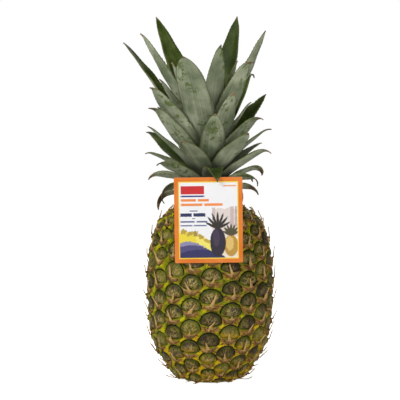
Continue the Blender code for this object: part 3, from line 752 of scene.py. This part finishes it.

# %% [markdown]
# ## Leaf finishes
#
# A crown leaf is leathery. Its outer face carries a grey waxy bloom that rubs off in green
# smudges, mostly across the upper half, with fine veins along it. The inner face is bare and dark
# green, painted darker still as painted shade, and every leaf is painted darker towards its foot as
# painted shade deep in the crown. The edges are thin, olive and toothed, and the tips dry to brown paper.

# %% Leaf materials
LEAF_FACES = (
    # name, roughness, dark green, middle, light, smudge green, how much smudge, vein strength
    ("waxy_bloom_leaf_face", 0.6, "6b755a", "8f977a", "b0b69a", "5a6a30", 0.85, 0.4),
    # The bare inner face is dark green, and its colours are painted darker still as painted shade.
    ("bare_inner_leaf_face_painted_shade", 0.5, "26340a", "3a4916", "57642e", "2f3d0e", 0.4, 0.3),
    ("thin_leaf_edge", 0.6, "5b5f36", "7c7c4e", "968f60", "6b5a33", 0.6, 0.2),
)
leaf_looks = []
for name, roughness, dark, middle_green, light, smudge_green, amount, veins in LEAF_FACES:
    look, tree, shader = finish(name, roughness, 0.18)
    here = node(tree, "TexCoord", out="Object")
    leaf_uv = node(tree, "UVMap", uv_map="leaf_map")
    lanes = node(tree, "SeparateXYZ", {0: leaf_uv}).node.outputs
    leaf_tone = node(tree, "Attribute", out="Fac", attribute_name="leaf_tone")
    dry = node(tree, "Attribute", out="Fac", attribute_name="dry")
    tipward = node(tree, "Attribute", out="Fac", attribute_name="tipward")
    seed = node(tree, "Math", {0: leaf_tone, 1: 50.0}, operation="MULTIPLY")
    along = node(tree, "CombineXYZ", {"X": lanes["X"], "Y": lanes["Y"], "Z": seed})
    # Veins: noise that is fine across the leaf and very long along it.
    vein_place = node(tree, "VectorMath", {0: along, 1: (26.0, 1.2, 1.0)}, operation="MULTIPLY")
    vein = node(tree, "TexNoise", {"Vector": vein_place, "Scale": 1.0, "Detail": 3.0})
    cloud = node(tree, "TexNoise", {"Vector": here, "Scale": 55.0, "Detail": 3.0})
    mixed = node(tree, "Math", {0: vein, 1: veins, 2: cloud}, operation="MULTIPLY_ADD")
    middle_stop = 0.5 + veins / 2
    green = node(
        tree, "ValToRGB", {0: mixed},
        stops=[(middle_stop - 0.2, dark), (middle_stop, middle_green), (middle_stop + 0.2, light)],
    )
    # Smudges: the bloom rubbed off in short strokes across the leaf.
    warp = node(tree, "TexNoise", {"Vector": along, "Scale": 7.0, "Detail": 3.0}, out="Color")
    stroke_place = node(tree, "VectorMath", {0: along, 1: (4.0, 21.0, 1.0)}, operation="MULTIPLY")
    stroke_place = node(
        tree, "VectorMath", {0: warp, 1: (1.2, 1.2, 0.0), 2: stroke_place}, operation="MULTIPLY_ADD",
    )
    stroke = node(tree, "TexNoise", {"Vector": stroke_place, "Scale": 1.0, "Detail": 4.0, "Roughness": 0.6})
    likely = node(tree, "MapRange", {0: tipward, 1: 0.2, 2: 0.75, 3: 0.08, 4: 0.0})
    stroke = node(tree, "Math", {0: stroke, 1: likely}, operation="SUBTRACT")
    smudge = node(tree, "MapRange", {0: stroke, 1: 0.51, 2: 0.57, 4: amount}, **STEP)
    patch_place = node(tree, "VectorMath", {0: along, 1: (1.6, 3.2, 1.0)}, operation="MULTIPLY")
    patch = node(tree, "TexNoise", {"Vector": patch_place, "Scale": 1.0, "Detail": 2.0})
    patch = node(tree, "Math", {0: patch, 1: likely}, operation="SUBTRACT")
    patch = node(tree, "MapRange", {0: patch, 1: 0.47, 2: 0.56}, **STEP)
    smudge = node(tree, "Math", {0: smudge, 1: patch}, operation="MULTIPLY")
    green = node(tree, "Mix", {0: smudge, 6: green, 7: smudge_green}, **MIX)
    # Towards the margin the bloom thins out.
    off_middle = node(tree, "Math", {0: lanes["X"], 1: 0.5}, operation="SUBTRACT")
    off_middle = node(tree, "Math", {0: off_middle}, operation="ABSOLUTE")
    margin = node(tree, "MapRange", {0: off_middle, 1: 0.43, 2: 0.5, 4: 0.7}, **STEP)
    green = node(tree, "Mix", {0: margin, 6: green, 7: "5a6330"}, **MIX)
    # Each leaf is a little lighter or darker than the next, and every leaf is painted darker towards its
    # foot: painted shade deep in the crown.
    tone_and_foot_shade = node(tree, "MapRange", {0: leaf_tone, 3: 0.9, 4: 1.1})
    # Painted shade: the colour darkens towards the foot of the leaf.
    foot = node(tree, "MapRange", {0: tipward, 1: 0.06, 2: 0.48, 3: 0.25, 4: 1.0}, **STEP)
    tone_and_foot_shade = node(tree, "Math", {0: tone_and_foot_shade, 1: foot}, operation="MULTIPLY")
    green = node(tree, "HueSaturation", {"Color": green, "Value": tone_and_foot_shade})
    paper = node(
        tree, "ValToRGB", {0: mixed},
        stops=[(middle_stop - 0.2, "33261b"), (middle_stop, "6d5a42"), (middle_stop + 0.2, "a08d6a")],
    )
    dried = node(tree, "Math", {0: cloud, 1: 0.5}, operation="SUBTRACT")
    dried = node(tree, "Math", {0: dried, 1: 0.9, 2: dry}, operation="MULTIPLY_ADD")
    dried = node(tree, "MapRange", {0: dried, 1: 0.35, 2: 0.7}, **STEP)
    final = node(tree, "Mix", {0: dried, 6: green, 7: paper}, **MIX)
    tree.links.new(final, shader.inputs["Base Color"])
    rough = node(tree, "MapRange", {0: smudge, 3: roughness, 4: roughness * 0.75})
    tree.links.new(rough, shader.inputs["Roughness"])
    leaf_looks.append(look)
print("leaf looks:", [look.name for look in leaf_looks])

# %% [markdown]
# ## The crown
#
# The leaves stand on a short stem, each turned 137.5 degrees from the one before, as the CAD
# leaves do, and they follow the same midribs. Here each becomes a real blade: a broad clasping
# foot, a hollowed section, a margin of small forward teeth, and a tip that dries and curls.

# %% Numbers of the crown, as in the CAD model
STEM_FOOT_RADIUS, STEM_TIP_RADIUS, STEM_HEIGHT = 0.0135, 0.0035, 0.068
LEAF_THICKNESS = 0.0011
BLADE_THICKNESS = 0.0009
FIT_GAP = 0.0004
TAG_TOP_REACH = 0.0658
# (length, width, lean at the foot, lean at the tip, fullness towards the tip, degrees off the spiral)
LEAVES = (
    (0.052, 0.013, 58, 150, 2.0, 0), (0.048, 0.014, 55, 130, 2.0, 0), (0.050, 0.014, 52, 150, 2.0, 0),
    (0.054, 0.016, 50, 150, 2.2, -5), (0.040, 0.015, 50, 125, 2.0, 0), (0.054, 0.015, 50, 120, 2.0, 0),
    (0.050, 0.018, 48, 125, 2.4, -10), (0.056, 0.016, 48, 115, 2.0, 0), (0.054, 0.017, 48, 108, 2.0, 3),
    (0.049, 0.018, 48, 118, 2.0, 10), (0.060, 0.018, 48, 95, 2.0, 0), (0.060, 0.020, 52, 76, 2.2, -15),
    (0.051, 0.018, 50, 92, 2.0, 0), (0.085, 0.020, 44, 56, 2.0, -3), (0.071, 0.020, 47, 142, 2.2, -12),
    (0.066, 0.020, 48, 70, 2.0, 0), (0.062, 0.020, 51, 73, 2.0, -4), (0.061, 0.021, 49, 64, 2.0, 0),
    (0.074, 0.021, 51, 68, 2.0, -3), (0.058, 0.026, 44, 60, 4.5, -13), (0.062, 0.020, 48, 66, 2.0, 0),
    (0.070, 0.021, 42, 49, 2.0, 10), (0.064, 0.026, 46, 56, 2.8, 0), (0.080, 0.022, 46, 60, 2.0, 0),
    (0.087, 0.025, 37.5, 44, 2.2, -5), (0.066, 0.018, 43, 54, 2.0, 0), (0.090, 0.023, 40, 50, 2.0, 0),
    (0.072, 0.026, 40, 48, 2.6, 0), (0.092, 0.023, 39, 50, 2.0, 0), (0.098, 0.028, 36, 43, 2.4, 30),
    (0.070, 0.022, 38, 50, 2.2, 0), (0.104, 0.024, 35, 44, 2.0, 0), (0.118, 0.031, 33, 38, 6.5, 9),
    (0.084, 0.022, 33, 42, 2.0, 0), (0.140, 0.025, 30.5, 38, 2.0, 12), (0.078, 0.025, 31, 38, 2.4, 0),
    (0.120, 0.025, 30, 38, 2.0, 0), (0.088, 0.024, 29, 36, 2.0, 0), (0.062, 0.021, 28, 36, 2.0, 0),
    (0.132, 0.025, 27, 35, 2.0, 5), (0.088, 0.022, 29, 36, 2.4, -3), (0.102, 0.024, 25.5, 33, 2.0, 0),
    (0.128, 0.023, 25, 32, 2.0, 14), (0.098, 0.028, 24.5, 32, 2.4, 0), (0.080, 0.024, 24, 31, 2.0, 0),
    (0.090, 0.019, 24, 31, 2.0, -8), (0.121, 0.021, 22, 24, 2.0, -12), (0.142, 0.028, 22, 29, 2.2, 0),
    (0.100, 0.024, 20, 26, 2.4, 0), (0.138, 0.028, 18.5, 25, 2.4, 0), (0.070, 0.017, 17, 22, 2.0, 0),
    (0.080, 0.018, 15, 20, 2.0, -3), (0.068, 0.013, 10.5, 15, 2.0, 10), (0.052, 0.013, 7, 10, 2.0, 0),
)
# Leaf name: (dried millimetres at the tip, extra curl in degrees over them, sideways bend in degrees).
TIPS = {
    1: (18, 50, 10), 2: (16, 60, -10), 3: (18, 60, 0), 4: (14, 70, 20), 5: (12, 40, 0), 6: (14, 60, -20),
    7: (8, 30, 0), 8: (9, 50, 0), 9: (8, 45, 10), 10: (9, 90, 15), 12: (8, 60, 0), 13: (9, 110, 20),
    14: (7, 40, 0), 15: (5, 10, 0), 17: (5, 50, -10), 18: (9, 80, 10), 19: (5, 20, 0), 20: (3, 12, 0),
    22: (4, 20, 0), 23: (4, 20, -12), 25: (11, 50, -35), 26: (7, 45, 10), 28: (3.5, 15, 0), 30: (5, 50, -15),
    31: (9, 80, 15), 33: (2, 8, 0), 34: (3, 10, 0), 35: (5, 20, -8), 36: (7, 25, 8), 40: (4, 10, 0),
    42: (13, 120, 25), 43: (5, 30, 6), 44: (8, 75, 20), 46: (4, 20, 0), 47: (3, 10, 0), 48: (3, 8, 0),
    49: (4, 35, 15), 50: (7, 8, 6),
}
PLAIN_TIP = (4, 25, 0)
# Degrees that a blade turns about its midrib by its tip.
TWISTS = {
    43: 22, 35: -13, 48: -24, 40: -10, 47: -34, 34: 30, 31: -15, 26: -12, 18: -15, 30: 14, 25: 14, 22: 12,
    14: -24, 17: 10, 44: -10, 42: 14,
    1: 24, 4: 30, 9: 26, 12: 16, 5: -26, 13: -24, 10: -22,
}
# Leaves folded along the midrib, and the radius of the fold. The others are hollowed to HOLLOW.
FOLDS = {35: 0.0125, 14: 0.022, 22: 0.020, 47: 0.018, 43: 0.022}
HOLLOW = 0.032
SERRATED = (47, 44, 43, 34)
TOOTH_PITCH = 0.0039
ACROSS = 8
print(len(LEAVES), "leaves,", len(TIPS), "of them with a tip of their own")


def leaf_midrib(number, rows):
    """Distance from the axis, height and lean in radians along a leaf, before its tip curls."""
    length, _, foot_lean, tip_lean, _, off = LEAVES[number - 1]
    foot = 0.003 + (STEM_HEIGHT - 0.007) * (number - 1) / (len(LEAVES) - 1)
    stem_radius = STEM_FOOT_RADIUS + (STEM_TIP_RADIUS - STEM_FOOT_RADIUS) * foot / STEM_HEIGHT
    reach = stem_radius + FIT_GAP + LEAF_THICKNESS / 2
    angle = math.radians(-107.5 + 137.5 * (number - 1) + off)
    share = (np.arange(400) + 0.5) / 400
    mean_sine = np.sin(np.radians(foot_lean + (tip_lean - foot_lean) * share ** 1.5)).mean()
    if number == 15:
        length = (TAG_TOP_REACH + 0.0065 - reach) / mean_sine
    if number in (2, 7):
        length = ((TAG_TOP_REACH - 0.0086) / math.cos(angle) - reach) / mean_sine
    count = max(12, 3 * round(length / TOOTH_PITCH)) if rows is None else rows
    share = np.arange(count + 1) / count
    lean = np.radians(foot_lean + (tip_lean - foot_lean) * share ** 1.5)
    return reach, FRUIT_HEIGHT + foot, lean, share, length, angle


# %% Grow the leaves
chance = np.random.default_rng(54)
faces_made = 0
for number in range(1, len(LEAVES) + 1):
    _, width, _, _, fullness, _ = LEAVES[number - 1]
    reach, foot_height, lean, share, length, angle = leaf_midrib(number, None)
    rows = len(share) - 1
    dry_mm, curl, bend = TIPS.get(number, PLAIN_TIP)
    tone, wave, phase = chance.random(), chance.uniform(0.2, 0.7) * MM, chance.uniform(0, 6.28)
    tooth_size = chance.uniform(0.5, 1.0, rows + 1) * MM * (0.55 if number in SERRATED else 0.22)
    # The tip curls over its dried part.
    into_tip = np.clip((share * length - (length - 1.6 * dry_mm * MM)) / (1.6 * dry_mm * MM), 0, 1)
    lean = lean + math.radians(curl) * into_tip ** 1.5
    sway = math.radians(bend) * into_tip ** 1.5 + 0.02 * np.sin(share * 5 + phase)
    stride = length / rows
    middle_lean, middle_sway = (lean[1:] + lean[:-1]) / 2, (sway[1:] + sway[:-1]) / 2
    sway_reach = np.concatenate([[0], np.cumsum(np.sin(middle_sway) * stride)])
    out_steps = np.sin(middle_lean) * np.cos(middle_sway) * stride
    up_steps = np.cos(middle_lean) * np.cos(middle_sway) * stride
    out_reach = reach + np.concatenate([[0], np.cumsum(out_steps)])
    rib_height = foot_height + np.concatenate([[0], np.cumsum(up_steps)])
    # Width, as in the CAD leaf but a little fuller, most so in the lowest leaves. The foot clasps
    # the stem.
    foot_half = min(0.46 * width, 0.95 * reach)
    swell = width / 2 - (width / 2 - foot_half) * np.clip(1 - share / 0.45, 0, None) ** 2
    half = swell * (1.25 if number <= 13 else 1.06) * np.clip(1 - share ** fullness, 0, 1) ** 0.75
    half = np.maximum(half * (1 - 0.35 * into_tip), (0.0005 + 0.0006 * into_tip) * (1 - 0.7 * share ** 30))
    toothed = (np.arange(rows + 1) % 3 == 0) & (share > 0.12) & (share < 0.93)
    tooth = np.where(toothed, tooth_size, 0.0)
    cup = reach + (FOLDS.get(number, HOLLOW) - reach) * share
    bm = bmesh.new()
    bmesh.ops.create_grid(bm, x_segments=ACROSS, y_segments=rows, size=1.0)
    grid = np.array([vert.co[:2] for vert in bm.verts])
    side, at = grid[:, 0], np.round((grid[:, 1] + 1) / 2 * rows).astype(int)
    edge = np.abs(side) > 0.99
    turn = side * (half[at] + np.where(edge, tooth[at], 0)) / cup[at]
    ripple = wave * np.sin(share[at] * length * 220 + phase + side) * side ** 2 * np.sin(np.pi * share[at])
    twist = math.radians(TWISTS.get(number, 0)) * np.clip(share[at] * 1.6, 0, 1)
    across, hollow = np.sin(turn) * cup[at], (1 - np.cos(turn)) * cup[at] + ripple
    sideways = across * np.cos(twist) - hollow * np.sin(twist) + sway_reach[at]
    inward = across * np.sin(twist) + hollow * np.cos(twist)
    forward = np.where(edge, tooth[at], 0)
    outward_at = out_reach[at] - np.cos(lean[at]) * inward + np.sin(lean[at]) * forward
    height_at = rib_height[at] + np.sin(lean[at]) * inward + np.cos(lean[at]) * forward
    sine, cosine = math.sin(angle), math.cos(angle)
    place = np.column_stack([
        sine * outward_at + cosine * sideways, -cosine * outward_at + sine * sideways, height_at,
    ])
    for vert, point in zip(bm.verts, place):
        vert.co = point
    bm.normal_update()
    foot_out = Vector((sine * math.cos(lean[0]), -cosine * math.cos(lean[0]), -math.sin(lean[0])))
    facing = sum(face.normal.dot(foot_out) for face in list(bm.faces)[:ACROSS * 6])
    if facing < 0:
        bmesh.ops.reverse_faces(bm, faces=bm.faces)
    leaf_uv = bm.loops.layers.uv.new("leaf_map")
    for face in bm.faces:
        for loop in face.loops:
            index = loop.vert.index
            loop[leaf_uv].uv = (side[index] * 0.5 + 0.5, share[at[index]] * length * 10)
    marks = {name: bm.verts.layers.float.new(name) for name in ("leaf_tone", "dry", "tipward")}
    overall = 0.34 if number <= 6 else 0.12 if number <= 13 else 0.0
    for vert in bm.verts:
        vert[marks["leaf_tone"]] = tone
        vert[marks["dry"]] = overall + min(1.0, 1.6 * max(0.0, into_tip[at[vert.index]] - 0.25))
        vert[marks["tipward"]] = share[at[vert.index]]
    leaf = piece(f"leaf_blade_{number:02d}", bm, leaf_looks)
    wall = leaf.modifiers.new("thickness", "SOLIDIFY")
    wall.thickness = BLADE_THICKNESS
    wall.offset = 0.0
    wall.material_offset = 1
    wall.material_offset_rim = 2
    faces_made += len(leaf.data.polygons)
    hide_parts(f"crown_leaf_{number:02d}")
    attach(leaf, "root")
print("leaf faces before thickness:", faces_made)

# %% [markdown]
# ## The card
#
# The card is coated board, printed in full colour. The CAD card keeps its shape. The print is
# made of plain generic shapes, without words, names or figures: a border, bars where the text
# would be, and two pineapples, one dark and one golden, on a dusky ground before a pale wall.

# %% Print of the card
printed_card, tree, shader = finish("coated_printed_card", 0.32)
CARD_HEIGHT, CARD_THICKNESS = 0.0783, 0.0007
# The shapes below are laid out for a card this high in millimetres, so the scale fits them to it.
LAYOUT_HEIGHT = 75.5
# Where the border starts, sideways and up from the middle.
BORDER_SIDE, BORDER_TOP = 25.3, 33.2
PRINT_UNITS = LAYOUT_HEIGHT / CARD_HEIGHT
card_low, card_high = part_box("hang_tag")
card_middle = (card_low + card_high) / 2
here = node(tree, "TexCoord", out="Object")
card_lean = math.asin((card_high.y - card_low.y - CARD_THICKNESS) / CARD_HEIGHT)
card_turn = (card_lean, math.radians(-0.7), 0.0)
flat = node(tree, "Mapping", {0: here, 1: tuple(card_middle), 2: card_turn}, vector_type="TEXTURE")
flat = node(tree, "VectorMath", {0: flat, "Scale": PRINT_UNITS}, operation="SCALE")
flat = node(tree, "VectorMath", {0: flat, 1: (1.0, 0.0, 1.0)}, operation="MULTIPLY")
fuzz = node(tree, "TexNoise", {"Vector": flat, "Scale": 0.5, "Detail": 3.0}, out="Color")
fuzz = node(tree, "VectorMath", {0: fuzz, 1: (0.5, 0.5, 0.5)}, operation="SUBTRACT")
# Rectangles and ellipses, in millimetres from the middle of the card, painted one over another:
# (shape, right, up, half width, half height, turn in degrees, roughness of its outline, colour)
PRINT = [
    ("bar", 14.5, -2, 11.0, 12.0, 0, 6, "ddd0cb"),
    ("bar", 4.5, 2, 1.4, 9.0, 0, 2, "cbb9b4"), ("bar", 20.5, 3, 1.6, 9.0, 0, 2, "c7b3b0"),
    ("bar", 24.0, 3, 0.8, 9.0, 0, 2, "b9a3a2"),
    ("disc", 14.0, -24.0, 14.0, 12.0, 0, 5, "e9dccb"),
    ("disc", -14.0, -20.5, 18.5, 9.5, -18, 4, "efe06a"),
    ("disc", -20.0, -17.0, 9.0, 6.0, -10, 5, "e8d23c"),
    ("disc", -22.0, -9.8, 2.6, 2.2, 0, 5, "b69a3e"), ("disc", -16.5, -11.5, 3.2, 1.6, 30, 5, "b69a3e"),
    ("disc", -11.5, -11.5, 2.2, 2.8, 0, 5, "a88d3a"), ("disc", -7.0, -14.5, 3.0, 1.8, -35, 5, "b69a3e"),
    ("disc", -1.5, -18.3, 3.4, 1.6, -25, 4, "c2a545"),
    ("disc", -17.0, -33.0, 19.0, 14.0, -8, 4, "8b86a8"),
    ("disc", -14.0, -36.0, 22.0, 14.0, -4, 3, "4d4878"),
    ("disc", -8.0, -40.0, 26.0, 14.0, 0, 2, "2e2c5c"),
    ("bar", -13.8, 26.6, 10.2, 3.6, 0, 0, "c8252b"), ("bar", -13.8, 21.2, 10.2, 0.7, 0, 0, "2a3a80"),
    ("bar", -17.4, 17.7, 6.6, 1.1, 0, 0, "ec8a45"), ("bar", -4.4, 17.7, 4.8, 1.1, 0, 0, "ec8a45"),
    ("bar", -14.6, 13.8, 9.4, 1.1, 0, 0, "ec8a45"), ("bar", 4.4, 13.8, 8.0, 1.1, 0, 0, "ec8a45"),
    ("bar", 18.8, 30.2, 5.6, 0.55, 0, 0, "ee9a62"),
    ("bar", -13.0, 8.3, 3.4, 0.5, 0, 0, "6a6f95"), ("bar", -19.6, 4.8, 5.0, 1.5, 0, 1, "2b3058"),
    ("bar", -8.0, 4.8, 5.2, 1.5, 0, 1, "2b3058"), ("bar", -13.0, 1.6, 1.4, 0.4, 0, 0, "6a6f95"),
    ("bar", -18.4, -1.2, 6.2, 0.7, 0, 0, "5a6089"), ("bar", -5.8, -1.2, 4.6, 0.7, 0, 0, "5a6089"),
    ("bar", -19.4, -4.6, 5.2, 0.6, 0, 0, "6a6f95"), ("bar", -7.4, -4.6, 5.6, 0.6, 0, 0, "6a6f95"),
    # A tall dark pineapple in front of a golden one.
    ("disc", 19.6, -22.5, 6.2, 9.6, 0, 1, "b98f3c"), ("disc", 18.4, -20.5, 3.4, 6.4, 0, 3, "dcb968"),
    ("disc", 8.0, -19.5, 6.8, 13.0, 0, 1, "2a2232"), ("disc", 6.6, -15.5, 3.0, 8.0, 0, 3, "40344a"),
]
# Their crowns are leaves fanned out from the top of each fruit.
for crown_x, crown_z, reach_mm, ink in ((19.6, -13.5, 4.6, "4f4a30"), (8.0, -7.5, 6.6, "2d2724")):
    for fan_degrees in (-62, -40, -20, 0, 20, 40, 62):
        sine, cosine = math.sin(math.radians(fan_degrees)), math.cos(math.radians(fan_degrees))
        tall_mm = reach_mm * (0.75 + 0.35 * cosine)
        leaf_x, leaf_z = crown_x + tall_mm * sine, crown_z + tall_mm * cosine
        PRINT.append(("disc", leaf_x, leaf_z, 1.1, tall_mm, -fan_degrees, 1, ink))
board = node(tree, "TexNoise", {"Vector": flat, "Scale": 3.0, "Detail": 4.0})
printed = node(tree, "ValToRGB", {0: board}, stops=[(0.3, "ebeaec"), (0.7, "f0eff0")])
for shape, cx, cz, half_wide, half_high, degrees, rough_edge, code in PRINT:
    spot = node(tree, "VectorMath", {0: flat, 1: (cx, 0.0, cz)}, operation="SUBTRACT")
    if rough_edge:
        edge_fuzz = (rough_edge, 0.0, rough_edge)
        spot = node(tree, "VectorMath", {0: fuzz, 1: edge_fuzz, 2: spot}, operation="MULTIPLY_ADD")
    if degrees:
        spot = node(tree, "VectorRotate", {0: spot, "Angle": math.radians(degrees)}, rotation_type="Y_AXIS")
    spot = node(tree, "VectorMath", {0: spot, 1: (half_wide, 1.0, half_high)}, operation="DIVIDE")
    soft = 0.25 / min(half_wide, half_high)
    if shape == "disc":
        off = node(tree, "VectorMath", {0: spot}, out="Value", operation="LENGTH")
    else:
        spot = node(tree, "VectorMath", {0: spot}, operation="ABSOLUTE")
        parts = node(tree, "SeparateXYZ", {0: spot}).node.outputs
        off = node(tree, "Math", {0: parts["X"], 1: parts["Z"]}, operation="MAXIMUM")
        soft = 0.1 / min(half_wide, half_high)
    inside = node(tree, "MapRange", {0: off, 1: 1.0 + soft, 2: 1.0 - soft}, **STEP)
    printed = node(tree, "Mix", {0: inside, 6: printed, 7: code}, **MIX)
# The border lies over everything: a thin yellow line, then orange to the edge of the card.
parts = node(tree, "SeparateXYZ", {0: node(tree, "VectorMath", {0: flat}, operation="ABSOLUTE")}).node.outputs
past_side = node(tree, "Math", {0: parts["X"], 1: BORDER_SIDE}, operation="SUBTRACT")
past_top = node(tree, "Math", {0: parts["Z"], 1: BORDER_TOP}, operation="SUBTRACT")
past = node(tree, "Math", {0: past_side, 1: past_top}, operation="MAXIMUM")
ink_cloud = node(tree, "TexNoise", {"Vector": here, "Scale": 60.0})
orange = node(tree, "ValToRGB", {0: ink_cloud}, stops=[(0.3, "d96f10"), (0.7, "e2802f")])
for start, ink in ((0.0, "efcf3a"), (0.9, orange)):
    over_line = node(tree, "MapRange", {0: past, 1: start - 0.1, 2: start + 0.1})
    printed = node(tree, "Mix", {0: over_line, 6: printed, 7: ink}, **MIX)
# Only the front is printed. The back and the cut edges show pale board.
normal = node(tree, "NewGeometry", out="Normal")
facing = node(tree, "SeparateXYZ", {0: normal}, out="Y")
front = node(tree, "MapRange", {0: facing, 1: -0.6, 2: -0.8})
bare = node(tree, "ValToRGB", {0: board}, stops=[(0.3, "d9d3c4"), (0.7, "e9e5d9")])
face = node(tree, "Mix", {0: front, 6: bare, 7: printed}, **MIX)
tree.links.new(face, shader.inputs["Base Color"])
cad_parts["hang_tag"].data.materials[0] = printed_card
print("card print:", len(PRINT), "shapes,", len(tree.nodes), "nodes")
